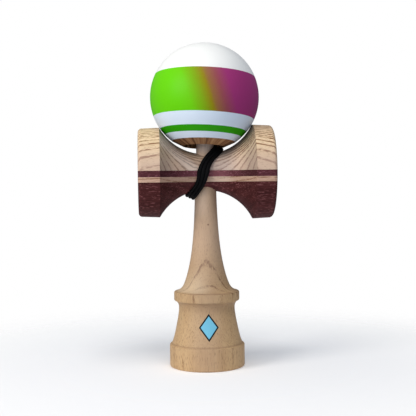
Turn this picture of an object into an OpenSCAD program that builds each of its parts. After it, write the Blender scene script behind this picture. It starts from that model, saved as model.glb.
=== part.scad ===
// Kendama: a turned wooden handle (ken) through a laminated cross-piece of two cups (sarado),
// a drilled ball (tama) seated over the spike, and a string wound round the cross-piece.
// Origin: centre of the base rim, on the table. +Z runs up the spike, +X to the big cup,
// and the front, where the winding shows, faces -Y. Millimetres.

/* [Ball] */
// Diameter of the ball
tama_d = 60; // [58:0.5:62]
// Diameter of the spike hole at its mouth
hole_mouth_d = 23; // [21:0.5:25]
// Diameter of the spike hole at its inner end
hole_end_d = 15; // [12:0.5:18]
// Depth of the spike hole above its mouth
hole_depth = 43; // [40:0.5:45]
// Outer diameter of the bare bevel round the spike hole
bevel_d = 35; // [31:0.5:39]
// How far the bevel is sunk below the round of the ball at the mouth
bevel_sink = 0.5; // [0.2:0.1:1]
// Diameter of the string hole in the crown
crown_hole_d = 3; // [2.4:0.1:3.6]
// Radius of the rounded lip of the string hole
crown_lip = 2.2; // [1.6:0.1:2.8]
// Lean of the ball towards the back, in degrees
lean_back = 5; // [0:0.5:6]
// Lean of the ball towards the big cup, in degrees
lean_right = 2; // [0:0.5:3]

/* [Handle] */
// Diameter of the base band
base_d = 41.6; // [39:0.2:46]
// Height of the base band
base_h = 12.6; // [10:0.2:15]
// Rounding of the base band's edges
base_round = 1; // [0.6:0.1:1.6]
// Width of the flat rim that the handle stands on
base_land = 1.4; // [0.8:0.1:2.4]
// Diameter of the narrow neck between base band and grip ring
base_neck_d = 29.4; // [27:0.2:31]
// Height from the base band to the grip ring
base_neck_h = 23.8; // [20:0.2:28]
// How much the neck widens on its way down to the base band, on the radius
base_neck_taper = 4.4; // [3.4:0.1:5]
// Diameter of the grip ring
ring_d = 36.2; // [34:0.2:39]
// Height of the grip ring
ring_h = 5.2; // [4:0.2:7]
// Rounding of the grip ring's edges
ring_round = 0.8; // [0.5:0.1:1.2]
// Diameter of the bell flare at the grip ring, without its cove
flare_d = 28.3; // [26:0.1:30]
// Height over which the bell flare dies away
flare_fall = 18.5; // [15:0.5:21]
// Height from the grip ring to the cross-piece's axis
stem_h = 65.8; // [60:0.2:72]
// Diameter of the stem where it enters the cross-piece
stem_d = 11.9; // [11.2:0.1:12.6]
// Diameter of the spike where it leaves the cross-piece
neck_d = 10; // [9.4:0.1:10.6]
// Diameter of the spike's rounded tip
tip_d = 5; // [4:0.1:6]

/* [Cross-piece] */
// Length over the two cup rims
sarado_l = 74; // [70:0.5:80]
// Outer diameter at the big cup
big_cup_d = 52; // [50:0.2:54]
// Outer diameter at the small cup
small_cup_d = 49.4; // [47:0.2:51]
// Diameter of the waist that the handle passes through
waist_d = 20; // [19:0.2:22]
// Radius of the hollow saddle between the cups
saddle_r = 29.2; // [28:0.1:30]
// How much narrower each cup is at its rim, on the radius
rim_taper = 0.4; // [0.1:0.1:0.8]
// Rounding of the cups' outer rims
rim_round = 2; // [1.4:0.1:2.8]
// Width of the flat land on the cups' rims
rim_land = 0.8; // [0.5:0.1:1.4]
// Height of the upper glue line above the axis
glue_up = 0.9; // [0.5:0.1:1.6]
// Thickness of the dark strip
dark_strip_t = 3.4; // [2.6:0.1:4]
// Thickness of the light strip
light_strip_t = 2.8; // [2:0.1:3.4]

/* [String] */
// Diameter of the string
string_d = 1.4; // [1.2:0.1:1.7]
// Turns of the winding round the cross-piece
turns = 3; // [2:1:3]
// Gap between neighbouring turns
turn_gap = 0.44; // [0.42:0.01:0.6]
// Steepest tilt of the flat bundle of turns, over the top and under the bottom, in degrees
bundle_tilt = 25; // [15:1:55]
// How far the bundle bows to the small cup where it crosses the front
bundle_bow = 1.2; // [0:0.1:1.6]
// Diameter of the string hole in the cross-piece
string_hole_d = 2.2; // [2:0.1:2.6]
// Height of that hole above the axis
string_hole_up = 3.4; // [2.8:0.1:4]
// Diameter of the bead inside the ball
bead_d = 7; // [6:0.1:7.6]
// Diameter of the knots at the two ends of the string
knot_d = 3; // [2.6:0.1:3.2]

/* [Fits] */
// Gap between the ball and the cups' inner edges that it sits on
seat_gap = 0.15; // [0.1:0.01:0.3]
// Radial gap between the handle's taper and the cross-piece's bore
taper_gap = 0.05; // [0.03:0.01:0.08]
// Gap between the string and what it lies on
string_gap = 0.2; // [0.15:0.01:0.3]
// Gap round the bead, between the bead and its knot, and round a knot in its pocket
bead_gap = 0.25; // [0.2:0.01:0.3]
// Clearance between the tip of the spike and the bead's knot
tip_gap = 1; // [0.6:0.1:1.6]
// How much larger than the ball the cups are turned, on the radius
cup_slack = 0.5; // [0.2:0.1:1]

/* [Hidden] */
$fn = 96;

// Overrun of every cut past the faces that it opens
over = 5;

// Radii
tama_r = tama_d / 2;
base_r = base_d / 2;
base_neck_r = base_neck_d / 2;
ring_r = ring_d / 2;
flare_r = flare_d / 2;
stem_r = stem_d / 2;
neck_r = neck_d / 2;
tip_r = tip_d / 2;
big_r = big_cup_d / 2;
small_r = small_cup_d / 2;
waist_r = waist_d / 2;
string_r = string_d / 2;
bead_r = bead_d / 2;
knot_r = knot_d / 2;
cup_r = tama_r + cup_slack;

// Heights up the handle
ring_z = base_h + base_neck_h;
ring_top_z = ring_z + ring_h;
axis_z = ring_top_z + stem_h;
seat_low_z = axis_z - waist_r;
seat_top_z = axis_z + waist_r;

// Glue lines of the cross-piece, from the top down
glue_top_z = axis_z + glue_up;
glue_mid_z = glue_top_z - dark_strip_t;
glue_low_z = glue_mid_z - light_strip_t;

// Radius of the saddle at a distance x along the cross-piece from its middle
function saddle_at(x) = waist_r + saddle_r - sqrt(saddle_r * saddle_r - x * x);
// Distance from the middle at which the saddle reaches a radius
function saddle_edge(r) = sqrt(saddle_r * saddle_r - pow(saddle_r + waist_r - r, 2));

// The ball sits on the two inner edges of the cups, or in a wider saddle on the waist.
// On the edges, its centre lies square above the middle of the line between them.
seat_reach = tama_r + seat_gap;
big_edge = [saddle_edge(big_r), big_r];
small_edge = [-saddle_edge(small_r), small_r];
edge_line = big_edge - small_edge;
edge_square = [-edge_line[1], edge_line[0]] / norm(edge_line);
edge_rise = sqrt(seat_reach * seat_reach - edge_line * edge_line / 4);
edge_seat = (big_edge + small_edge) / 2 + edge_rise * edge_square;
waist_seat = [0, waist_r + seat_reach];
tama_at = edge_seat[1] > waist_seat[1] ? edge_seat : waist_seat;

// Places along the ball's own axis, from its centre
hole_mouth_r = hole_mouth_d / 2;
hole_end_r = hole_end_d / 2;
hole_mouth_z = bevel_sink - sqrt(tama_r * tama_r - hole_mouth_r * hole_mouth_r);
hole_end_z = hole_mouth_z + hole_depth;
bevel_r = bevel_d / 2;
bevel_z = -sqrt(tama_r * tama_r - bevel_r * bevel_r);
crown_hole_r = crown_hole_d / 2;
lip_foot_r = crown_hole_r + crown_lip;
lip_z = sqrt(tama_r * tama_r - lip_foot_r * lip_foot_r) - crown_lip;
bead_z = hole_end_z - bead_gap - bead_r;
bead_knot_z = bead_z - bead_r - bead_gap - knot_r;

module in_ball_frame()
    translate([tama_at[0], 0, axis_z + tama_at[1]])
        rotate([-lean_back, lean_right, 0])
            children();

// Handle, turned in one piece

// The spike stops short of the bead's knot, which the lean of the ball lowers a little
tip_z = axis_z + tama_at[1] + (bead_knot_z - knot_r) * cos(lean_back) * cos(lean_right) - tip_gap;
spike_h = tip_z - tip_r - seat_top_z;

// Shares of the neck's height over which the coves at its two ends die away
base_cove_share = 0.085;
ring_cove_share = 0.075;
// Share of the ring's height over which the cove above the ring dies away
flare_cove_share = 0.21;
// Bend of the neck's taper: 1 is a straight cone
neck_bend = 1.25;

// How far a lip still stands out at a distance from it, as its cove dies away
function cove(lip, distance, fall) = lip * exp(-distance / fall);

base_cove_lip = base_r - base_round - base_neck_r - base_neck_taper;
ring_cove_lip = ring_r - ring_round - base_neck_r;
flare_cove_lip = ring_r - ring_round - flare_r;
flare_h = seat_low_z - ring_top_z;
flare_left = exp(-flare_h / flare_fall);

// Radius of the neck at a height above the base band
function base_neck_at(h) =
    base_neck_r + base_neck_taper * pow(1 - h / base_neck_h, neck_bend)
    + cove(base_cove_lip, h, base_cove_share * base_neck_h)
    + cove(ring_cove_lip, base_neck_h - h, ring_cove_share * base_neck_h);
// Radius of the bell and the stem at a height above the ring
function flare_at(h) =
    stem_r + (flare_r - stem_r) * (exp(-h / flare_fall) - flare_left) / (1 - flare_left)
    + cove(flare_cove_lip, h, flare_cove_share * ring_h);
// Radius of the spike, t from 0 at the cross-piece to 1 where the round tip starts
function spike_at(t) = tip_r + (neck_r - tip_r) * (1 - t * t);

neck_steps = 32;
flare_steps = 44;
spike_steps = 16;
// Steps close up towards both ends of the neck, and towards the ring on the bell
function neck_h_at(i) = base_neck_h * (1 - cos(180 * i / neck_steps)) / 2;
function flare_h_at(i) = flare_h * pow(i / flare_steps, 2);

// Half section of a turned band with rounded edges
module band(r, h, edge) {
    square([r - edge, h]);
    translate([0, edge]) square([r, h - 2 * edge]);
    translate([r - edge, edge]) circle(edge);
    translate([r - edge, h - edge]) circle(edge);
}

module ken_profile() {
    band(base_r, base_h, base_round);
    polygon(concat(
        [[0, base_h]],
        [for (i = [0:neck_steps]) [base_neck_at(neck_h_at(i)), base_h + neck_h_at(i)]],
        [[0, ring_z]]));
    translate([0, ring_z]) band(ring_r, ring_h, ring_round);
    polygon(concat(
        [[0, ring_top_z]],
        [for (i = [0:flare_steps]) [flare_at(flare_h_at(i)), ring_top_z + flare_h_at(i)]],
        [for (i = [0:spike_steps]) [spike_at(i / spike_steps), seat_top_z + spike_h * i / spike_steps]],
        [[0, seat_top_z + spike_h]]));
    intersection() {
        translate([0, tip_z - tip_r]) circle(tip_r);
        translate([0, tip_z - tip_r]) square(tip_r);
    }
}

base_mouth_r = base_r - base_round - base_land;

module ken_handle() color("burlywood")
    difference() {
        rotate_extrude() ken_profile();
        translate([0, 0, -sqrt(cup_r * cup_r - base_mouth_r * base_mouth_r)]) sphere(cup_r);
    }

// Way of the string: out of the back of the cross-piece, over the waist and round it

pitch = string_d + turn_gap;
// Lanes of the bundle from its middle: its outermost and its innermost pass the handle
quarter_turn = 1 / 4;
outer_lane = turns / 2 - quarter_turn;
inner_lane = turns / 2 - 3 * quarter_turn;
bundle_half = outer_lane * pitch * cos(bundle_tilt);
stem_under_r = flare_at(flare_h - turns * pitch);
wind_top_x = neck_r + string_gap + string_r + bundle_half;
wind_bottom_x = -(stem_under_r + string_gap + string_r + bundle_half);
wind_mid = (wind_top_x + wind_bottom_x) / 2;
wind_reach = (wind_top_x - wind_bottom_x) / 2;
// Share of the bundle's sideways sweep that follows the sine, the rest its cube
sweep_share = 0.35;
// Softening of the bundle's lift where it lies flat
lift_ease_share = 0.2;
// Share by which the lanes fan out where the bundle crosses the front
fan_share = 0.16;

// Centre of the string, t in turns from the back of the cross-piece, over the top first.
// Where the bundle sweeps sideways its lanes widen, so that the turns keep their gap, and
// the whole bundle stands on the saddle under its outer edge.
function wound(t) =
    let (phi = 180 - 360 * t, s = sin(phi), c = cos(phi), tilt = bundle_tilt * s, lane = t - turns / 2,
         sweep = sweep_share * s + (1 - sweep_share) * pow(s, 3),
         rate = wind_reach * c * (sweep_share + 3 * (1 - sweep_share) * s * s) + 2 * bundle_bow * c * s,
         fan = 1 + fan_share * pow(max(c, 0), 2),
         spread = pitch * fan * sqrt(1 + pow(rate / (waist_r + string_d), 2)),
         middle = wind_mid + wind_reach * sweep - bundle_bow * c * c,
         edge = inner_lane * sqrt(pow(sin(tilt), 2) + pow(lift_ease_share, 2)),
         rho = saddle_at(abs(middle) + inner_lane * pitch) + string_gap + string_r
               + pitch * (edge - lane * sin(tilt)))
    [middle + lane * spread * cos(tilt), -rho * c, axis_z + rho * s];

function unit(v) = v / norm(v);

// A curve from p to q that leaves along u and arrives along v
function bend(p, u, q, v, t) =
    pow(1 - t, 3) * p + 3 * pow(1 - t, 2) * t * (p + u) + 3 * (1 - t) * t * t * (q - v) + pow(t, 3) * q;

// The knot lies in a pocket beside the handle, and the string runs straight out of its hole
wind_rings = 24;
hole_x = wound(1 / wind_rings)[0];
hole_z = axis_z + string_hole_up;
taper_slope = (stem_r - neck_r) / waist_d;
taper_at_hole = neck_r + (seat_top_z - hole_z) * taper_slope;
knot_y = sqrt(pow(taper_at_hole + knot_r + bead_gap, 2) - hole_x * hole_x);
knot_face = [hole_x, knot_y + knot_r, hole_z];
hole_out = knot_face + [0, 2 * string_d, 0];
join = 1 / 8;
join_way = wound(join + 1 / wind_rings) - wound(join);
bend_rings = 8;
wind_end = wound(turns);
wind_end_way = unit(wind_end - wound(turns - 1 / pow(wind_rings, 2)));

winding_path = concat(
    [knot_face, knot_face + [0, string_d, 0]],
    [for (i = [0:bend_rings - 1])
        bend(hole_out, [0, string_d, 0], wound(join), join_way, i / bend_rings)],
    [for (i = [0:(turns - join) * wind_rings]) wound(join + i / wind_rings)],
    [wind_end + string_d * wind_end_way]
);

// Cross-piece: four boards glued into one blank, turned about X, then bored for the handle

// Half of the blank's section. The side of the cup is drawn on past the saddle's edge, so that
// the saddle's cut alone makes that edge.
module half_blank(outer_r) {
    side_l = sarado_l / 2 - rim_round - saddle_edge(outer_r);
    difference() {
        polygon([
            [0, 0],
            [outer_r + rim_taper * saddle_edge(outer_r) / side_l, 0],
            [outer_r - rim_taper, sarado_l / 2 - rim_round],
            [outer_r - rim_taper, sarado_l / 2],
            [0, sarado_l / 2]
        ]);
        translate([outer_r - rim_taper - rim_round, sarado_l / 2 - rim_round]) difference() {
            square(rim_round + over);
            circle(rim_round);
        }
    }
}

module blank_profile()
    difference() {
        union() {
            half_blank(big_r);
            mirror([0, 1]) half_blank(small_r);
        }
        translate([waist_r + saddle_r, 0]) circle(saddle_r);
    }

// Distance from the middle to the centre of the round that a cup is turned to
function cup_centre(outer_r) =
    sarado_l / 2 + sqrt(cup_r * cup_r - pow(outer_r - rim_taper - rim_round - rim_land, 2));

module taper_bore()
    translate([0, 0, seat_low_z - over])
        cylinder(h = waist_d + 2 * over,
                 r1 = stem_r + taper_gap + over * taper_slope,
                 r2 = neck_r + taper_gap - over * taper_slope);

module string_hole()
    translate([hole_x, 0, hole_z]) rotate([-90, 0, 0]) {
        cylinder(h = knot_y + knot_r + bead_gap, r = knot_r + bead_gap);
        cylinder(h = waist_d, d = string_hole_d);
    }

// One board of the blank, between two heights
module board(low, high)
    difference() {
        intersection() {
            translate([0, 0, axis_z]) rotate([0, 90, 0]) rotate_extrude() blank_profile();
            translate([-sarado_l, -sarado_l, low]) cube([2 * sarado_l, 2 * sarado_l, high - low]);
        }
        translate([cup_centre(big_r), 0, axis_z]) sphere(cup_r);
        translate([-cup_centre(small_r), 0, axis_z]) sphere(cup_r);
        taper_bore();
        string_hole();
    }

module sarado_upper_block() color("wheat") board(glue_top_z, axis_z + sarado_l);

module sarado_dark_strip() color("saddlebrown") board(glue_mid_z, glue_top_z);

module sarado_light_strip() color("tan") board(glue_low_z, glue_mid_z);

module sarado_lower_block() color("maroon") board(axis_z - sarado_l, glue_low_z);

// Ball, turned, then drilled from below for the spike and from above for the string

module spike_hole()
    rotate_extrude() polygon([
        [0, -tama_d],
        [bevel_r, -tama_d],
        [bevel_r, bevel_z],
        [hole_mouth_r, hole_mouth_z],
        [hole_end_r, hole_end_z],
        [0, hole_end_z]
    ]);

module crown_hole() {
    cylinder(h = tama_d, r = crown_hole_r);
    rotate_extrude() difference() {
        translate([0, lip_z]) square([lip_foot_r, tama_r]);
        translate([lip_foot_r, lip_z]) circle(crown_lip);
    }
}

module tama_ball() color("white") in_ball_frame()
    difference() {
        sphere(tama_r);
        spike_hole();
        crown_hole();
    }

// Bead that holds the string in the ball, and the knots at the string's two ends

module string_bead() color("peru") in_ball_frame()
    translate([0, 0, bead_z]) difference() {
        sphere(bead_r);
        translate([0, 0, -bead_d]) cylinder(h = 2 * bead_d, r = string_r + string_gap);
    }

module bead_knot() color("black") in_ball_frame()
    translate([0, 0, bead_knot_z]) sphere(knot_r);

module sarado_knot() color("black")
    translate([hole_x, knot_y, hole_z]) sphere(knot_r);

// String: one length, from the knot in the cross-piece to the knot under the bead

// Route of the free stretch, up from the winding, over the back of the ball and into its crown
lead_route = [
    [2.4, 11.8, 112.3], [2.4, 13.4, 114.6], [2.4, 15.9, 118], [2.4, 18.9, 122], [2.3, 22, 126.1],
    [2.2, 25, 130.2], [2, 28.1, 135.4], [1.9, 30.2, 141.6], [1.8, 31, 148], [1.7, 30.4, 154.4],
    [1.5, 28.5, 160.6], [1.4, 25.4, 166.3], [1.3, 21.1, 171.2], [1.1, 16.4, 174.8], [1.1, 12.3, 176.9],
    [1, 9, 178.1], [1, 7.2, 178.6], [1, 6, 178.8], [1, 4.9, 178.5], [1, 3.9, 177.8],
    [0.9, 3.1, 176.9], [0.9, 2.6, 176.1]
];
lead_spans = 2;

// Points along a smooth curve through a route, with so many spans between its points
function smooth(route, spans) = concat(
    [for (i = [0:len(route) - 2], j = [0:spans - 1])
        let (a = route[max(i - 1, 0)], b = route[i], c = route[i + 1],
             d = route[min(i + 2, len(route) - 1)], t = j / spans)
        b + ((c - a) * t + (2 * a - 5 * b + 4 * c - d) * t * t + (3 * b - a - 3 * c + d) * pow(t, 3)) / 2],
    [route[len(route) - 1]]);

lead_from = winding_path[len(winding_path) - 1];
lead_path = concat(
    [lead_from],
    smooth(concat([lead_from + string_d * wind_end_way], lead_route), lead_spans)
);

// A tube of rings square to a path, each turned as little as possible from the one before
function way_at(path, i) = unit(path[min(i + 1, len(path) - 1)] - path[max(i - 1, 0)]);
function sides_from(path, i, last) =
    i == len(path) ? [] :
    let (way = way_at(path, i), side = unit(last - (last * way) * way))
    concat([side], sides_from(path, i + 1, side));

module tube(path, r, facets) {
    rings = len(path);
    sides = sides_from(path, 0, [1, 0, 0]);
    points = [for (i = [0:rings - 1], k = [0:facets - 1])
        let (a = 360 * k / facets)
        path[i] + r * (cos(a) * sides[i] + sin(a) * cross(way_at(path, i), sides[i]))];
    function at(i, k) = i * facets + k % facets;
    walls = [for (i = [0:rings - 2], k = [0:facets - 1], half = [0, 1])
        half == 0 ? [at(i, k), at(i + 1, k), at(i, k + 1)] : [at(i, k + 1), at(i + 1, k), at(i + 1, k + 1)]];
    caps = [for (k = [1:facets - 2], end = [0, 1])
        end == 0 ? [at(0, 0), at(0, k), at(0, k + 1)] : [at(rings - 1, 0), at(rings - 1, k + 1), at(rings - 1, k)]];
    polyhedron(points, concat(walls, caps));
}

module string_winding() color("black") tube(winding_path, string_r, 6);

module string_lead() color("black") tube(lead_path, string_r, 8);

module string_tail() color("black") in_ball_frame()
    translate([0, 0, bead_knot_z + knot_r]) cylinder(h = lip_z - bead_knot_z - knot_r, r = string_r);

// Least gap of the winding to itself, between points over half a turn apart
wound_gap = min([for (i = [0:len(winding_path) - 1], j = [i + wind_rings / 2:1:len(winding_path) - 1])
    norm(winding_path[i] - winding_path[j])]) - string_d;
echo(str("Least gap of the winding to itself: ", wound_gap, " mm"));

ken_handle();
sarado_upper_block();
sarado_dark_strip();
sarado_light_strip();
sarado_lower_block();
tama_ball();
string_bead();
bead_knot();
sarado_knot();
string_winding();
string_lead();
string_tail();
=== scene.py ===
import bpy
import numpy as np
from mathutils import Matrix, Vector


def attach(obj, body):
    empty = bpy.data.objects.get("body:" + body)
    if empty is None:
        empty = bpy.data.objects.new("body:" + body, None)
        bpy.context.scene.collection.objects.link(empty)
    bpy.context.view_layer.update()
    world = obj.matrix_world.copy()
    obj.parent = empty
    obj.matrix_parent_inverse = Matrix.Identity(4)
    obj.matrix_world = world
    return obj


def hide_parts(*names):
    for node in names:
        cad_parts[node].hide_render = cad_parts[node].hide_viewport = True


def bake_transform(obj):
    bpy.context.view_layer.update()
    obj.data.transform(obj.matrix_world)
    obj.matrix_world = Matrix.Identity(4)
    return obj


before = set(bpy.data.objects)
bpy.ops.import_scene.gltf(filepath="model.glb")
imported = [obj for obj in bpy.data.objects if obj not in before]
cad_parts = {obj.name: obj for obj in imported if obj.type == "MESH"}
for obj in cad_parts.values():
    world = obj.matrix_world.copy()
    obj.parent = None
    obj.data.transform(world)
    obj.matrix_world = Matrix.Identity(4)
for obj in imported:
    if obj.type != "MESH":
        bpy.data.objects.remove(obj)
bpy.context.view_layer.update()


# The view: a long lens half a metre away, a little to the left of the kendama's middle and as high
# as its cross-piece, with soft daylight from the upper left. The floor is a pale disc that runs out
# into a white surround.

scene = bpy.context.scene
scene.view_settings.view_transform = "Standard"

frame_pixels = 416
focal_pixels = 904
film_width = 36
lens_place = (-0.02985, -0.500, 0.105)
swing, dip, roll = np.radians((3.56, 2.0, 0.64))
ahead = np.array((np.sin(swing) * np.cos(dip), np.cos(swing) * np.cos(dip), -np.sin(dip)))
right = np.array((np.cos(swing), -np.sin(swing), 0))
up = np.cross(right, ahead)
placed = np.eye(4)
placed[:3, 0] = right * np.cos(roll) - up * np.sin(roll)
placed[:3, 1] = up * np.cos(roll) + right * np.sin(roll)
placed[:3, 2] = -ahead
placed[:3, 3] = lens_place

camera = bpy.data.objects.new("camera", bpy.data.cameras.new("camera"))
scene.collection.objects.link(camera)
camera.matrix_world = Matrix(placed.tolist())
camera.data.sensor_width = film_width
camera.data.lens = film_width * focal_pixels / frame_pixels
camera.data.clip_start = 0.01
scene.camera = camera


def soft_light(name, place, target, size, watts, tint):
    """A square lamp of a given size that faces a target."""
    lamp = bpy.data.objects.new(name, bpy.data.lights.new(name, "AREA"))
    scene.collection.objects.link(lamp)
    lamp.data.size = size
    lamp.data.energy = watts
    lamp.data.color = tint
    lamp.location = place
    lamp.rotation_euler = (Vector(target) - Vector(place)).to_track_quat("-Z", "Y").to_euler()


soft_light("window", place=(-0.98, -0.66, 0.58), target=(0, 0, 0.10), size=0.6, watts=9.6,
           tint=(1, 0.97, 0.92))
soft_light("overhead", place=(0.05, -0.40, 1.05), target=(0, 0, 0.08), size=0.4, watts=3.5,
           tint=(1, 0.99, 0.98))
soft_light("front", place=(-0.20, -1.20, 0.28), target=(0, 0, 0.09), size=0.7, watts=1.9,
           tint=(0.96, 0.98, 1))


class Wire:
    """The output of a node. Sums on wires and numbers add Math nodes to the same tree."""

    def __init__(self, tree, socket):
        self.tree = tree
        self.socket = socket

    def maths(self, operation, *values):
        """A Math node on one or two values."""
        return self.tree.node("ShaderNodeMath", {"operation": operation}, dict(enumerate(values)))

    def __add__(self, other):
        return self.maths("ADD", self, other)

    def __radd__(self, other):
        return self.maths("ADD", other, self)

    def __sub__(self, other):
        return self.maths("SUBTRACT", self, other)

    def __rsub__(self, other):
        return self.maths("SUBTRACT", other, self)

    def __mul__(self, other):
        return self.maths("MULTIPLY", self, other)

    def __rmul__(self, other):
        return self.maths("MULTIPLY", other, self)

    def __truediv__(self, other):
        return self.maths("DIVIDE", self, other)

    def __abs__(self):
        return self.maths("ABSOLUTE", self)

    def beyond(self, other):
        """1 above another value, 0 below it."""
        return self.maths("GREATER_THAN", self, other)

    def sine(self):
        """The sine of an angle in radians."""
        return self.maths("SINE", self)

    def most(self, other):
        """The greater of two values."""
        return self.maths("MAXIMUM", self, other)

    def rise(self, low, high):
        """0 below low, 1 above high, and a smooth S between them."""
        return self.tree.node("ShaderNodeMapRange", {"interpolation_type": "SMOOTHSTEP"}, {
            "Value": self, "From Min": low, "From Max": high})

    def between(self, low, full, ebb, high):
        """A rise from low to full, times a fall from ebb to high."""
        return self.rise(low, full) * (1 - self.rise(ebb, high))


class NodeTree:
    """A tree of nodes in the making."""

    def __init__(self, tree):
        self.nodes = tree.nodes
        self.links = tree.links

    def node(self, kind, settings, inputs, output=0):
        """Any node: its settings first, then the values or wires of its sockets. Gives an output."""
        made = self.nodes.new(kind)
        for key, value in settings.items():
            if key == "stops":
                for stop in value[2:]:
                    made.color_ramp.elements.new(stop[0])
                for element, stop in zip(made.color_ramp.elements, value):
                    element.position = stop[0]
                    element.color = (*stop[1], 1)
            else:
                setattr(made, key, value)
        self.feed(made, inputs)
        return Wire(self, made.outputs[output])

    def feed(self, made, inputs):
        """Links the wires to a node's sockets and sets the plain values on them."""
        for key, value in inputs.items():
            if isinstance(value, Wire):
                self.links.new(value.socket, made.inputs[key])
            else:
                made.inputs[key].default_value = value


class Finish(NodeTree):
    """A material in the making, with a Principled shader that paint() feeds."""

    def __init__(self, name):
        self.material = bpy.data.materials.new(name)
        self.material.use_nodes = True
        super().__init__(self.material.node_tree)
        self.shader = self.nodes["Principled BSDF"]

    def paint(self, **sockets):
        """Values or wires for the shader: Base_Color is its Base Color socket."""
        self.feed(self.shader, {key.replace("_", " "): value for key, value in sockets.items()})

    def put_on(self, piece):
        """Makes this the only material of a piece."""
        piece.data.materials.clear()
        piece.data.materials.append(self.material)


def mesh_piece(name, points, faces):
    """A smooth mesh piece from an array of points and a list of faces."""
    mesh = bpy.data.meshes.new(name)
    mesh.from_pydata(points.reshape(-1, 3).tolist(), [], faces)
    mesh.polygons.foreach_set("use_smooth", np.ones(len(mesh.polygons), bool))
    mesh.update()
    piece = bpy.data.objects.new(name, mesh)
    scene.collection.objects.link(piece)
    return piece


def grid_faces(rows, columns):
    """Quads between neighbours of a grid whose columns close into a ring."""
    i, j = np.meshgrid(np.arange(rows - 1), np.arange(columns), indexing="ij")
    k = (j + 1) % columns
    here, below = i * columns, (i + 1) * columns
    return np.stack((here + j, here + k, below + k, below + j), -1).reshape(-1, 4)


surround = bpy.data.worlds.new("surround")
surround.use_nodes = True
scene.world = surround
sky = NodeTree(surround.node_tree)
backward = sky.node("ShaderNodeVectorMath", {"operation": "DOT_PRODUCT"}, {
    0: sky.node("ShaderNodeTexCoord", {}, {}, "Generated"), 1: (0.35, 0.94, 0)}, "Value")
dimmed = sky.node("ShaderNodeMapRange", {}, {
    "Value": backward, "From Min": -0.2, "From Max": 0.8, "To Min": 0.40, "To Max": 0.20})
dome = sky.nodes["Background"]
sky.feed(dome, {"Color": (0.85, 0.95, 1.12, 1), "Strength": dimmed})
white = sky.node("ShaderNodeBackground", {}, {"Color": (1, 1, 1, 1)})
to_camera = sky.node("ShaderNodeLightPath", {}, {}, "Is Camera Ray")
seen = sky.node("ShaderNodeMixShader", {}, {
    0: to_camera, 1: Wire(sky, dome.outputs[0]), 2: white})
sky.feed(sky.nodes["World Output"], {"Surface": seen})

floor_rings, floor_spokes = 40, 96
floor_r, fade_from, fade_to = 0.9, 0.05, 0.24
floor_reach = np.linspace(0.001, floor_r, floor_rings)[:, None]
floor_turn = np.linspace(0, 2 * np.pi, floor_spokes, endpoint=False)[None, :]
floor_points = np.stack(np.broadcast_arrays(
    floor_reach * np.cos(floor_turn), floor_reach * np.sin(floor_turn), 0 * floor_reach), -1)
floor_quads = grid_faces(floor_rings, floor_spokes).tolist()
floor = mesh_piece("floor", floor_points, floor_quads + [list(range(floor_spokes))])
pale = Finish("pale floor")
floor_away = pale.node("ShaderNodeVectorMath", {"operation": "LENGTH"}, {
    0: pale.node("ShaderNodeTexCoord", {}, {}, "Object")}, "Value")
pale.paint(
    Base_Color=(0.97, 0.96, 0.95, 1),
    Roughness=0.9,
    Specular_IOR_Level=0.1,
    Emission_Color=(1, 1, 1, 1),
    Emission_Strength=0.12)
clear = pale.node("ShaderNodeBsdfTransparent", {}, {})
faded = pale.node("ShaderNodeMixShader", {}, {
    0: floor_away.rise(fade_from, fade_to), 1: Wire(pale, pale.shader.outputs[0]), 2: clear})
pale.feed(pale.nodes["Material Output"], {"Surface": faded})
pale.put_on(floor)


# Handle: one length of ash, turned on a lathe between centres into base, grip ring, bell and spike,
# then sanded and left bare, with a small blue lozenge printed on it. The grain runs up it, so that
# the bell and the base cut through the growth rings in arches. Its colour also carries painted
# light and shade: the spike is painted paler, there is painted shade in the coves, a painted
# highlight on the left of the bell's foot, and painted light and shadow at the top of the stem.

def tone(red, green, blue):
    """A colour given in the 0 to 255 of a colour picker, as the linear values of a shader."""
    share = np.array((red, green, blue)) / 255
    linear = np.where(share > 0.04045, ((share + 0.055) / 1.055) ** 2.4, share / 12.92)
    return tuple(linear.tolist())


def lengths(finish, middle, *ways):
    """How far the surface lies from a point in each direction, in millimetres: the product of the
    way from that point, in metres, and a direction that is 1000 long."""
    place = finish.node("ShaderNodeVectorMath", {"operation": "SUBTRACT"}, {
        0: finish.node("ShaderNodeTexCoord", {}, {}, "Object"), 1: middle})
    found = []
    for way in ways:
        direction = tuple((1000 * np.array(way) / np.linalg.norm(way)).tolist())
        found.append(finish.node(
            "ShaderNodeVectorMath", {"operation": "DOT_PRODUCT"}, {0: place, 1: direction}, "Value"))
    return found


def grain(finish, spread, detail):
    """Noise from 0 to 1 over three lengths, each divided by its own grain size in millimetres."""
    (a, size_a), (b, size_b), (c, size_c) = spread
    where = finish.node("ShaderNodeCombineXYZ", {}, {0: a / size_a, 1: b / size_b, 2: c / size_c})
    return finish.node("ShaderNodeTexNoise", {}, {
        "Vector": where, "Scale": 1.0, "Detail": detail, "Roughness": 0.6})


def ramp(finish, shade, *stops):
    """A colour from a scale: each stop is a place from 0 to 1 on it and the colour there."""
    return finish.node("ShaderNodeValToRGB", {"stops": stops}, {"Fac": shade})


def blended(finish, share, first, second):
    """Two colours mixed by a share from 0 to 1."""
    sockets = {0: share}
    for key, colour in ((6, first), (7, second)):
        sockets[key] = colour if isinstance(colour, Wire) else (*colour, 1)
    return finish.node("ShaderNodeMix", {"data_type": "RGBA"}, sockets, 2)


def washed(colour, *washes):
    """A colour with other colours laid over it in turn, each by its share from 0 to 1."""
    for share, wash in washes:
        colour = blended(colour.tree, share, colour, wash)
    return colour


def relief(finish, strength, depth, height):
    """The normal of a surface that is raised by a height from 0 to 1, times a depth in metres."""
    return finish.node("ShaderNodeBump", {}, {
        "Strength": strength, "Distance": depth, "Height": height})


def since_start(depth, ring_starts):
    """How deep a place lies past the last start of a growth ring, in millimetres."""
    since = depth - ring_starts[0]
    for last, start in zip(ring_starts, ring_starts[1:]):
        since = since - (start - last) * depth.beyond(start)
    return since


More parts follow.
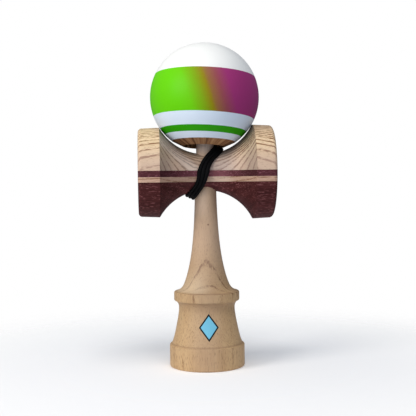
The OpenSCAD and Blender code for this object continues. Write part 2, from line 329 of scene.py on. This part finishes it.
def ash(finish, along, square, across, ring_starts, stops, pore_tone, pore_depth, ring_depth):
    """Ring-porous wood. Each growth ring opens with a thin band of long open pores and closes with
    dense wood that darkens towards its end, and fine fibres run through all of it.
    Gives the colour, the height of the surface from 0 to 1, the share of open pores and the
    strength of the early wood."""
    wander = grain(finish, ((along, 75), (square, 17), (across, 17)), 2) - 0.5
    ragged = grain(finish, ((along, 7), (square, 0.7), (across, 0.7)), 2) - 0.5
    since = since_start(square + 2.2 * wander + 0.5 * ragged, ring_starts)
    broken = grain(finish, ((along, 3), (square, 0.8), (across, 1.1)), 2).rise(0.3, 0.7)
    bold = grain(finish, ((along, 70), (square, 1.7), (across, 40)), 1).rise(0.3, 0.7)
    early = since.between(0, 0.15, 0.2, 1) * (0.4 + bold) * (0.2 + 1.9 * broken)
    late = since.rise(1.2, 4.5)
    fibres = grain(finish, ((along, 16), (square, 0.45), (across, 0.45)), 3) - 0.5
    patches = grain(finish, ((along, 45), (square, 6), (across, 5)), 2) - 0.5
    vessels = grain(finish, ((along, 2.8), (square, 0.3), (across, 0.3)), 1)
    pores = (vessels + 0.3 * ring_depth * early).rise(0.56, 0.74)
    shade = 0.32 + ring_depth * (early + 0.3 * late) + 0.65 * fibres + 0.55 * patches
    colour = blended(finish, pores * pore_depth, ramp(finish, shade, *stops), pore_tone)
    return colour, 0.7 + 0.3 * fibres - 0.6 * pores, pores, early


base_top, ring_foot, ring_top = 12.8, 36.2, 41.8
lozenge_width, lozenge_height, lozenge_middle = 10.8, 14.8, (0, 0, 0.0235)
fleck_middle = (0.0008, 0, 0.0786)

bare_ash = Finish("bare ash")
up_grain, to_front, sideways = lengths(
    bare_ash, (0, 0, 0), (0.01, 0.03, 1), (-0.06, -1, 0), (1, -0.06, 0))
height, = lengths(bare_ash, (0, 0, 0), (0, 0, 1))
on_front = to_front.beyond(0)
straight_sides = (1 - height.rise(base_top - 0.8, base_top)).most(
    height.between(ring_foot, ring_foot + 0.6, ring_top - 0.6, ring_top))
ash_colour, ash_height, ash_pores, _ = ash(
    bare_ash, up_grain, to_front + 0.006 * sideways * sideways, sideways,
    ring_starts=(-26, -21, -16.4, -12, -7.6, 8.6, 12.2, 16.5, 21),
    stops=((0, tone(201, 170, 129)), (0.45, tone(184, 150, 110)), (1, tone(136, 99, 63))),
    pore_tone=tone(112, 80, 52), pore_depth=0.75,
    ring_depth=0.04 + 0.36 * up_grain.rise(36, 46) + 0.16 * straight_sides)

stem = up_grain.rise(42, 74)
# painted light: the spike is painted paler, standing in for the light that falls on it
spike = up_grain.rise(114, 121)
flat_cut = (1 - abs(sideways).rise(2, 13)) * (1 - up_grain.rise(48, 72))
under_ring = height.between(ring_foot - 7.2, ring_foot - 0.2, ring_foot, ring_foot + 0.4)
on_base = height.between(base_top - 0.3, base_top, base_top + 0.1, base_top + 0.8)
on_ring = height.between(ring_top - 0.8, ring_top - 0.5, ring_top - 0.3, ring_top + 0.2)
# painted shade in the coves: under the grip ring, at the top of the base and on the ring's top edge,
# weaker on the left
painted_cove_shade = 0.3 * under_ring + 0.35 * on_base + 0.3 * on_ring * sideways.rise(-15, -5)
# painted highlight: the left of the bell's foot is painted paler, where the light falls
bell_foot_painted_light = height.between(ring_top - 0.3, ring_top + 0.4, ring_top + 0.2, ring_top + 16.2)
# painted light on the left and painted shadow on the right of the stem's top, under the cross-piece
stem_top_light_and_shade = height.between(80, 90, 96, 100)
fleck_side, fleck_up = lengths(bare_ash, fleck_middle, (1, 0, 0), (0, 0, 1))
fleck = on_front * (1 - (fleck_side * fleck_side + fleck_up * fleck_up).rise(0.05, 0.35))
printed_side, printed_up = lengths(bare_ash, lozenge_middle, (1, 0, 0), (0, 0, 1))
lozenge = abs(printed_side) / (lozenge_width / 2) + abs(printed_up) / (lozenge_height / 2)
lathe_marks = grain(bare_ash, ((up_grain, 0.35), (to_front, 60), (sideways, 60)), 2)
bare_ash.paint(
    Base_Color=washed(
        ash_colour,
        (0.5 * stem, tone(200, 172, 152)),
        (0.42 * spike, tone(228, 213, 205)),
        (0.35 * flat_cut, tone(159, 134, 116)),
        (painted_cove_shade, tone(124, 94, 72)),
        (0.27 * bell_foot_painted_light * (1 - sideways.rise(-6, 5)), tone(236, 218, 190)),
        (0.28 * stem_top_light_and_shade * (1 - sideways.rise(-2, 3.5)), tone(250, 222, 196)),
        (0.2 * stem_top_light_and_shade * sideways.rise(1, 5), tone(80, 55, 40)),
        (0.7 * fleck, tone(92, 58, 38)),
        (on_front * (1 - lozenge.rise(0.985, 1.015)), tone(14, 20, 26)),
        (on_front * (1 - lozenge.rise(0.805, 0.835)), tone(112, 184, 210))),
    Roughness=0.52 + 0.2 * ash_pores,
    Specular_IOR_Level=0.2,
    Normal=relief(bare_ash, 0.6, 0.00012, ash_height + 0.16 * lathe_marks))
bare_ash.put_on(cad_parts["ken_handle"])


# Cross-piece: four boards glued flat on each other, turned into two cups with a hollow saddle
# between them, and bored for the handle. The upper board is ash, sawn so that its growth rings
# slant; below it lie a dark strip, a light strip and a dark block.

axis_height = 0.1074
saddle_middle = 0.00035
saddle_edge, cup_edge = 25.5, 25.9


def saddle_share(finish):
    """How far along the cross-piece the surface lies from the middle of the saddle, in millimetres,
    and a share that is 1 in the saddle and 0 on the sides of the cups."""
    side, = lengths(finish, (saddle_middle, 0, axis_height), (1, 0, 0))
    return side, 1 - abs(side).rise(saddle_edge, cup_edge)


pale_block = Finish("pale ash block")
block_along, block_square, block_across = lengths(
    pale_block, (0, 0, axis_height), (1, 0.02, 0.03), (0.038, 0.951, 0.309), (0, -0.309, 0.951))
block_side, block_saddle = saddle_share(pale_block)
block_back, block_up = lengths(pale_block, (0, 0, axis_height), (0, 1, 0), (0, 0, 1))
block_out = pale_block.node("ShaderNodeVectorMath", {"operation": "LENGTH"}, {
    0: pale_block.node("ShaderNodeCombineXYZ", {}, {0: 0.0, 1: block_back, 2: block_up})}, "Value")
block_colour, block_height, block_pores, block_early = ash(
    pale_block, block_along, block_square + 0.0016 * block_along * block_along, block_across,
    ring_starts=(
        -25, -22.2, -19.4, -16.6, -13.9, -11.7, -9.5, -8.3, -6.7, -5.1, -3, -1,
        1, 3.2, 5.4, 7.4, 9.8, 12, 14.4, 17, 19.4, 22),
    stops=((0, tone(242, 217, 180)), (0.45, tone(225, 195, 156)), (1, tone(140, 96, 62))),
    pore_tone=tone(134, 96, 62), pore_depth=0.65,
    ring_depth=0.9 + 0.3 * block_saddle - 0.4 * block_up.rise(12, 22) * (1 - block_saddle))

towards_strip = 1 - block_up.rise(3, 18)
# painted light: a paler patch on the left of the saddle, where less of the ball's shade falls
saddle_painted_light = (block_side + 1.1 * (block_up - 8)).between(-20, -16, -12, -9)
# painted shade: the saddle right of the spike is painted greyer and darker
shade_right_of_spike = block_side.between(-3, 3, 9, 21)
ring_lines = block_early.rise(0.1, 1.3)
# painted shadow of the ball along the top of the saddle, reaching lower on the right of the spike
ball_shadow_on_saddle = 0.75 * (block_up / block_out + 0.12 * shade_right_of_spike).rise(0.7, 1.05)
# darker near the cups: partly end grain, partly painted shade
end_grain_and_shade = 0.4 * abs(block_side).rise(16, 23)
pale_block.paint(
    Base_Color=washed(
        block_colour,
        (0.65 * towards_strip, tone(198, 168, 152)),
        (0.56 * block_saddle * saddle_painted_light, tone(250, 228, 210)),
        (0.4 * block_saddle * shade_right_of_spike, tone(166, 158, 160)),
        (0.4 * block_saddle * ring_lines, tone(116, 79, 54)),
        (block_saddle * ball_shadow_on_saddle.most(end_grain_and_shade), tone(84, 80, 80))),
    Roughness=0.52 + 0.2 * block_pores,
    Specular_IOR_Level=0.2,
    Normal=relief(pale_block, 0.6, 0.00012, block_height))
pale_block.put_on(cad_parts["sarado_upper_block"])

pale_strip = Finish("pale strip")
strip_along, strip_square, strip_across = lengths(
    pale_strip, (0, 0, axis_height), (1, -0.01, 0.015), (0, 0.17, 0.985), (0, -0.985, 0.17))
strip_colour, strip_height, strip_pores, _ = ash(
    pale_strip, strip_along, strip_square, strip_across,
    ring_starts=(-12.7, -10.3, -7.9, -5.5, -3.1, -0.7, 1.7),
    stops=((0, tone(214, 178, 154)), (0.45, tone(196, 158, 134)), (1, tone(158, 118, 92))),
    pore_tone=tone(136, 96, 70), pore_depth=0.55, ring_depth=0.5)
strip_side, strip_saddle = saddle_share(pale_strip)
strip_painted_light = strip_saddle * strip_side.between(-2, 4, 9, 16)
# painted shade over the strip in the saddle, then painted light right of the spike where the string's
# shadow falls
pale_strip.paint(
    Base_Color=washed(
        strip_colour,
        (0.22 * strip_saddle, tone(74, 66, 60)),
        (0.23 * strip_painted_light, tone(255, 236, 212))),
    Roughness=0.52 + 0.2 * strip_pores,
    Specular_IOR_Level=0.2,
    Normal=relief(pale_strip, 0.5, 0.0001, strip_height))
pale_strip.put_on(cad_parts["sarado_light_strip"])


def dark_heartwood(name, turn, stops, middle, saddle_depth, lit_middle_share):
    """A dense dark wood: fine pores strewn evenly, faint bands, and short pale and dark flecks.
    In the saddle it is darker by a given depth near the cups, partly where the surface cuts across the
    fibres and partly as painted shade, and paler by a given share in the middle as painted light."""
    finish = Finish(name)
    along, square, across = lengths(
        finish, middle,
        (1, 0.015, -0.02), (0, np.cos(turn), np.sin(turn)), (0, -np.sin(turn), np.cos(turn)))
    bands = grain(finish, ((along, 120), (square, 2.6), (across, 9)), 2) - 0.5
    fibres = grain(finish, ((along, 9), (square, 0.35), (across, 0.35)), 3) - 0.5
    pores = grain(finish, ((along, 2.6), (square, 0.2), (across, 0.2)), 1).rise(0.64, 0.74)
    flecks = grain(finish, ((along, 2.6), (square, 0.55), (across, 0.55)), 1).rise(0.56, 0.72)
    shade = 0.40 + 0.8 * bands + 1.1 * fibres - 0.28 * pores + 0.75 * flecks
    side, saddle = saddle_share(finish)
    # painted light in the middle of the saddle
    lit_middle = saddle * side.between(-20, -2, 8, 15)
    # darker near the cups: partly end grain, partly painted shade
    cut_across_and_shade = saddle * abs(side).rise(13, 22)
    finish.paint(
        Base_Color=washed(
            ramp(finish, shade, *stops),
            (lit_middle_share * lit_middle, tone(200, 130, 140)),
            (saddle_depth * cut_across_and_shade, tone(26, 6, 4))),
        Roughness=0.58 + 0.2 * pores,
        Specular_IOR_Level=0.08,
        Normal=relief(finish, 0.5, 0.0001, 0.7 + 0.3 * fibres - 0.6 * pores))
    return finish


dark_strip = dark_heartwood(
    "dark strip", turn=1.45, middle=(0.013, 0, axis_height),
    stops=((0, tone(62, 26, 30)), (0.5, tone(92, 48, 54)), (1, tone(130, 80, 88))),
    saddle_depth=0.47, lit_middle_share=0.165)
dark_strip.put_on(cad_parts["sarado_dark_strip"])
dark_block = dark_heartwood(
    "dark block", turn=1.3, middle=(0, 0.004, axis_height),
    stops=((0, tone(47, 17, 16)), (0.5, tone(79, 36, 36)), (1, tone(124, 75, 75))),
    saddle_depth=0.27, lit_middle_share=0.03)
dark_block.put_on(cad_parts["sarado_lower_block"])


# String: one length of black braid. A knot in a pocket beside the handle holds its lower end; from
# there it winds three times round the cross-piece, rises behind the ball, goes in at the crown and
# ends in a knot under the bead.

millimetre = 0.001
string_d = 1.4
string_r = string_d / 2
turns = 3
lane_pitch = 1.84
waist_r, saddle_r, string_gap = 10, 29.2, 0.2
sweep_middle, sweep_reach, bundle_bow = -0.54842, 8.53293, 1.2
sweep_share, edge_rounding = 0.35, 0.2
front_fan, draw_over, draw_under, draw_aside = 0.16, 0.18, 0.26, 0.3
bundle_tilt = np.radians(25)
axis_z = axis_height / millimetre


def wound(t, aside=0):
    """Centre of the string after t turns, in millimetres: a ring about the cross-piece's axis that
    sways to the big cup over the top and to the small cup below, in lanes a pitch apart, at a
    radius that keeps the whole bundle clear of the saddle. The lanes fan out across the front and
    draw together where they come over and go under it. Lanes aside lie further to one side."""
    s, c = np.sin(np.pi - 2 * np.pi * t), np.cos(np.pi - 2 * np.pi * t)
    tilt, lane = bundle_tilt * s, t - turns / 2 + aside
    inner_lane = turns / 2 - 3 / 4
    sweep = sweep_share * s + (1 - sweep_share) * s ** 3
    rate = sweep_reach * c * (sweep_share + 3 * (1 - sweep_share) * s * s) + 2 * bundle_bow * c * s
    front = np.maximum(c, 0)
    over_front = 2 * front * np.maximum(s, 0)
    under_front = 2 * front * np.maximum(-s, 0)
    fan = 1 + front_fan * front ** 2 - draw_over * over_front - draw_under * under_front
    spread = lane_pitch * fan * np.sqrt(1 + (rate / (waist_r + string_d)) ** 2)
    middle = sweep_middle + sweep_reach * sweep - bundle_bow * c * c + draw_aside * under_front
    edge = inner_lane * np.sqrt(np.sin(tilt) ** 2 + edge_rounding ** 2)
    under = np.abs(middle) + inner_lane * lane_pitch
    saddle = waist_r + saddle_r - np.sqrt(saddle_r ** 2 - under ** 2)
    rho = saddle + string_gap + string_r + lane_pitch * (edge - lane * np.sin(tilt))
    return np.stack((middle + lane * spread * np.cos(tilt), -rho * c, axis_z + rho * s), -1)


def smooth_through(route, spans):
    """A Catmull-Rom curve through the points of a route, with so many spans between two of them."""
    a, b = np.concatenate((route[:1], route[:-2])), route[:-1]
    c, d = route[1:], np.concatenate((route[2:], route[-1:]))
    t = (np.arange(spans) / spans)[None, :, None]
    a, b, c, d = (x[:, None, :] for x in (a, b, c, d))
    first, second, third = c - a, 2 * a - 5 * b + 4 * c - d, 3 * b - a - 3 * c + d
    curve = b + (first * t + second * t ** 2 + third * t ** 3) / 2
    return np.concatenate((curve.reshape(-1, 3), route[-1:]))


# It comes out of its hole straight and turns into the first lane along a cubic Bezier curve.
knot_face = np.array((-3.67066, 7.53484, 110.8))
straight_out = np.array((0, 2 * string_d, 0))
hole_out = knot_face + straight_out
join, bend_reach = 1 / 8, 1 / 24
join_at = wound(np.array(join))
join_way = wound(np.array(join + bend_reach)) - join_at
bend_t = np.linspace(0, 1, 32, endpoint=False)[:, None]
bend_left = 1 - bend_t
bend = (bend_left ** 3 * hole_out + 3 * bend_left ** 2 * bend_t * (hole_out + straight_out)
        + 3 * bend_left * bend_t ** 2 * (join_at - join_way) + bend_t ** 3 * join_at)
wound_t = np.linspace(join, turns, 700)
winding = wound(wound_t)
winding_way = winding[-1] - winding[-2]
winding_way = winding_way / np.linalg.norm(winding_way)

ball_middle = np.array((-0.0481, 0, 148.5034))
ball_axis = np.array((0.0347667, 0.0871557, 0.9955878))
lead_route = np.array((
    (2.4, 11.8, 112.3), (2.4, 13.4, 114.6), (2.4, 15.9, 118), (2.4, 18.9, 122), (2.3, 22, 126.1),
    (2.2, 25, 130.2), (2, 28.1, 135.4), (1.9, 30.2, 141.6), (1.8, 31, 148), (1.7, 30.4, 154.4),
    (1.5, 28.5, 160.6), (1.4, 25.4, 166.3), (1.3, 21.1, 171.2), (1.1, 16.4, 174.8),
    (1.1, 12.3, 176.9), (1, 9, 178.1), (1, 7.2, 178.6), (1, 6, 178.8), (1, 4.9, 178.5),
    (1, 3.9, 177.8), (0.9, 3.1, 176.9), (0.9, 2.6, 176.1)))
off_waist = winding[-1] + np.array(((1,), (2,))) * string_d * winding_way
in_crown = ball_middle + np.array(((26,), (24,))) * ball_axis
lead = smooth_through(np.concatenate((off_waist, lead_route, in_crown)), 12)
tail_top, tail_end, upper_knot_at = 23.8, 8.3, 6.792
tail = ball_middle + np.linspace(tail_top, tail_end, 60)[:, None] * ball_axis
in_hole = np.stack((knot_face, knot_face + straight_out / 2))
string_way = millimetre * np.concatenate((in_hole, bend, winding, lead, tail))

# The way to the next turn beside it, which dies away at both ends of the winding.
to_next = wound(wound_t, 0.5) - wound(wound_t, -0.5)
lead_release = np.linspace(1, 0, len(lead))[:, None] ** 8
beside = millimetre * np.concatenate((
    np.zeros_like(in_hole), bend_t * to_next[:1], to_next, lead_release * to_next[-1:],
    np.zeros_like(tail)))


def even_steps(way, step, *riding):
    """A way with its points set an even step apart: how far along it they lie, the way itself, and
    whatever rides on it."""
    gone = np.concatenate(((0,), np.cumsum(np.linalg.norm(np.diff(way, axis=0), axis=1))))
    marks = np.linspace(0, gone[-1], int(round(gone[-1] / step)) + 1)
    ways = [np.stack([np.interp(marks, gone, row) for row in x.T], -1) for x in (way, *riding)]
    return (marks, *ways)


def carried_sides(way):
    """Directions along a way and two square to it, each turned as little as possible from the last."""
    ahead = np.gradient(way, axis=0)
    ahead /= np.linalg.norm(ahead, axis=1)[:, None]
    side = np.zeros_like(way)
    last = np.array((1, 0, 0))
    for i, a in enumerate(ahead):
        last = last - (last @ a) * a
        last = last / np.linalg.norm(last)
        side[i] = last
    return ahead, side, np.cross(ahead, side)


def braided_tube(name, way, marks, to_next, radius, sides, plies, lay):
    """A tube along a way with the relief of a braid: one set of plies runs round to the right and
    one to the left, a full turn in each lay, and they pass over and under each other in turn.
    Where a next turn lies beside it, the tube is pressed flat until it fills the way there."""
    core, ply_relief, over_share, ply_width = 0.907, 0.06, 0.55, 1.9
    end_taper, press_share, nothing = 0.6, 0.56, 1e-9
    ahead, side, other = carried_sides(way)
    turn = np.linspace(0, 2 * np.pi, sides, endpoint=False)[None, :]
    rightward = plies * (turn / (2 * np.pi) - marks[:, None] / lay)
    leftward = plies * (turn / (2 * np.pi) + marks[:, None] / lay)

    def ridge(across, along, sign):
        """The height of a set of plies, each a round ridge that is raised where it passes over and
        sunk where it passes under, and how far a place lies from the middle of its ply."""
        own = np.round(across)
        over = sign * np.cos(np.pi * along) * np.where(own % 2 == 0, 1, -1)
        rounded = np.sqrt(np.clip(1 - (ply_width * (across - own)) ** 2, 0, 1))
        return rounded + over_share * over, across - own

    right_height, right_place = ridge(rightward, leftward, 1)
    left_height, left_place = ridge(leftward, rightward, -1)
    height = np.maximum(right_height, left_height)
    place = np.where(right_height > left_height, right_place, left_place)
    out = radius * (core + ply_relief * height)
    out[[0, -1]] *= end_taper
    ring = out[..., None] * (
        np.cos(turn)[..., None] * side[:, None, :] + np.sin(turn)[..., None] * other[:, None, :])
    to_next = to_next - (to_next * ahead).sum(1)[:, None] * ahead
    spacing = np.linalg.norm(to_next, axis=1)[:, None]
    wide = (to_next / np.maximum(spacing, nothing))[:, None, :]
    press = np.maximum(press_share * spacing / radius - 1, 0)[..., None]
    points = way[:, None, :] + ring + press * (ring * wide).sum(2)[..., None] * wide
    rows = len(way)
    faces = grid_faces(rows, sides)[:, ::-1].tolist()
    caps = [list(range(sides)), list(range((rows - 1) * sides, rows * sides))[::-1]]
    piece = mesh_piece(name, points, faces + caps)
    ply = piece.data.attributes.new("ply", "FLOAT", "POINT")
    ply.data.foreach_set("value", place.astype(np.float32).ravel())
    return piece


braid_d, ring_step, thread_turn = 0.0017, 0.00017, 38
string_marks, string_rings, string_next = even_steps(string_way, ring_step, beside)
string = braided_tube(
    "string", string_rings, string_marks, string_next, braid_d / 2, sides=24, plies=4, lay=0.0066)

black_braid = Finish("black braid")
ply_place = black_braid.node("ShaderNodeAttribute", {"attribute_name": "ply"}, {}, "Fac")
near_x, near_y, near_z = lengths(black_braid, (0, 0, 0), (1, 0, 0), (0, 1, 0), (0, 0, 1))
fuzz = grain(black_braid, ((near_x, 0.5), (near_y, 0.5), (near_z, 0.5)), 3)
threads = (ply_place * thread_turn).sine()
black_braid.paint(
    Base_Color=blended(black_braid, fuzz.rise(0.35, 0.75), tone(3, 3, 4), tone(9, 9, 11)),
    Roughness=0.55 + 0.2 * fuzz,
    Specular_IOR_Level=0.10,
    Normal=relief(black_braid, 0.5, 0.00008, 0.5 + 0.3 * threads + 0.4 * fuzz))
black_braid.put_on(string)

knot_r = 1.5


def tight_knot(name, middle, facing, size):
    """An overhand knot pulled tight: a trefoil (sin t + 2 sin 2t, cos t - 2 cos 2t, -1.6 sin 3t)
    that fills a ball of the given radius, lying square to the string that leaves it."""
    steps, sides = 240, 12
    loop_share, strand_share = 0.56, 0.42
    t = np.linspace(0, 2 * np.pi, steps, endpoint=False)
    loop = np.stack((
        np.sin(t) + 2 * np.sin(2 * t), np.cos(t) - 2 * np.cos(2 * t), -1.6 * np.sin(3 * t)), -1)
    loop *= loop_share * size / 3
    facing = np.array(facing) / np.linalg.norm(facing)
    one = np.cross(facing, (1, 0, 0))
    one /= np.linalg.norm(one)
    loop = middle + loop @ np.stack((one, np.cross(facing, one), facing))
    ahead = np.roll(loop, -1, 0) - np.roll(loop, 1, 0)
    ahead /= np.linalg.norm(ahead, axis=1)[:, None]
    out = loop - middle
    out -= (out * ahead).sum(1)[:, None] * ahead
    out /= np.linalg.norm(out, axis=1)[:, None]
    other = np.cross(ahead, out)
    turn = np.linspace(0, 2 * np.pi, sides, endpoint=False)[None, :, None]
    ring = np.cos(turn) * out[:, None, :] + np.sin(turn) * other[:, None, :]
    points = loop[:, None, :] + strand_share * size * ring
    faces = grid_faces(steps + 1, sides)[:, ::-1] % (steps * sides)
    knot = mesh_piece(name, points, faces.tolist())
    black_braid.put_on(knot)
    return knot


lower_knot = tight_knot(
    "lower_knot", millimetre * (knot_face - (0, knot_r, 0)), (0, 1, 0), millimetre * knot_r)
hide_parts("sarado_knot")
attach(lower_knot, "ken")
upper_knot = tight_knot(
    "upper_knot", millimetre * (ball_middle + upper_knot_at * ball_axis), ball_axis,
    millimetre * knot_r)
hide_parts("bead_knot")
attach(upper_knot, "string_end")

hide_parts("string_winding", "string_lead", "string_tail")
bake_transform(string)


# Ball: turned from one piece of wood, drilled for the spike and the string, and painted in bands
# over a white ground. The bevel round the spike hole and the hole itself are left bare.

painted = Finish("banded paint")
ball_side = np.cross((0, 1, 0), ball_axis)
ball_side /= np.linalg.norm(ball_side)
ball_back = np.cross(ball_axis, ball_side)
high, aside, behind = lengths(
    painted, tuple((millimetre * ball_middle).tolist()), ball_axis, ball_side, ball_back)
from_axis = painted.node("ShaderNodeVectorMath", {"operation": "LENGTH"}, {
    0: painted.node("ShaderNodeCombineXYZ", {}, {0: aside, 1: behind, 2: 0.0})}, "Value")
brush_wobble, band_slant, band_edge = 0.10, 0.014, 0.08
wobble = grain(painted, ((high, 1.1), (aside, 1.1), (behind, 1.1)), 2) - 0.5
level = high + brush_wobble * wobble
band_level = level + band_slant * aside


def band(bottom, top):
    """1 between two heights on the ball, with crisp edges that were painted a little out of true."""
    return band_level.between(
        bottom - band_edge, bottom + band_edge, top - band_edge, top + band_edge)


wide_band = band(-11.65, 11.52)
thin_band = band(-21.45, -18.35)
speckle = 0.14 * (grain(painted, ((high, 0.4), (aside, 0.4), (behind, 0.4)), 2) - 0.5)
ball_r, fade_slant, fade_place = 30, 0.34, 0.57
fade = (aside + fade_slant * high) / ball_r + speckle
fade_colour = ramp(
    painted, fade + fade_place,
    (0, tone(104, 209, 4)), (0.20, tone(108, 203, 8)), (0.42, tone(126, 164, 12)),
    (0.57, tone(144, 128, 14)), (0.63, tone(147, 104, 56)), (0.80, tone(150, 74, 82)),
    (1, tone(160, 52, 114)))
# painted shade: the white ground is painted bluer and darker low on the ball
white_ground_shaded_below = blended(painted, high.rise(-12, -4), tone(223, 235, 248), tone(244, 243, 238))

spike_hole_r, spike_hole_top, string_hole_r, bevel_top = 11.5, 20, 1.6, -24.5
spike_hole = (1 - from_axis.rise(spike_hole_r, spike_hole_r + 0.3)) * (
    1 - high.rise(spike_hole_top, spike_hole_top + 1))
string_hole = 1 - from_axis.rise(string_hole_r, string_hole_r + 0.3)
bevel = 1 - level.rise(bevel_top, bevel_top + 0.15)
bare = bevel.most(spike_hole).most(string_hole)
streaks = grain(painted, ((high, 30), (aside / from_axis, 0.11), (behind / from_axis, 0.11)), 3)
wood_fibres = grain(painted, ((high, 9), (aside, 0.3), (behind, 0.3)), 2)
wood_colour = ramp(
    painted, 1.7 * (streaks - 0.5) + 0.4 * (wood_fibres - 0.5) + 0.5,
    (0.2, tone(74, 47, 30)), (0.5, tone(138, 98, 66)), (0.85, tone(176, 134, 94)))
peel = grain(painted, ((high, 1.6), (aside, 1.6), (behind, 1.6)), 2)
paint_height = 1 + 0.6 * (wide_band + thin_band) + 0.15 * peel
painted.paint(
    Base_Color=washed(
        white_ground_shaded_below, (wide_band, fade_colour), (thin_band, tone(46, 158, 0)), (bare, wood_colour)),
    Roughness=0.42 + 0.06 * peel + 0.2 * bare,
    Specular_IOR_Level=0.11,
    Normal=relief(painted, 0.5, 0.00006, (1 - bare) * paint_height + bare * 0.6 * wood_fibres))
painted.put_on(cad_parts["tama_ball"])


# Bead: a small turned wooden bead, threaded on the string inside the ball, that the string pulls
# up against the end of the spike hole.

bead_wood = Finish("bead wood")
bead_up, bead_side, bead_back = lengths(bead_wood, (0, 0, 0), ball_axis, ball_side, ball_back)
bead_fibres = grain(bead_wood, ((bead_up, 7), (bead_side, 0.35), (bead_back, 0.35)), 3)
bead_wood.paint(
    Base_Color=ramp(
        bead_wood, bead_fibres,
        (0.25, tone(150, 104, 62)), (0.55, tone(188, 142, 94)), (0.8, tone(212, 170, 122))),
    Roughness=0.4 + 0.15 * bead_fibres,
    Normal=relief(bead_wood, 0.4, 0.00008, bead_fibres))
bead_wood.put_on(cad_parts["string_bead"])
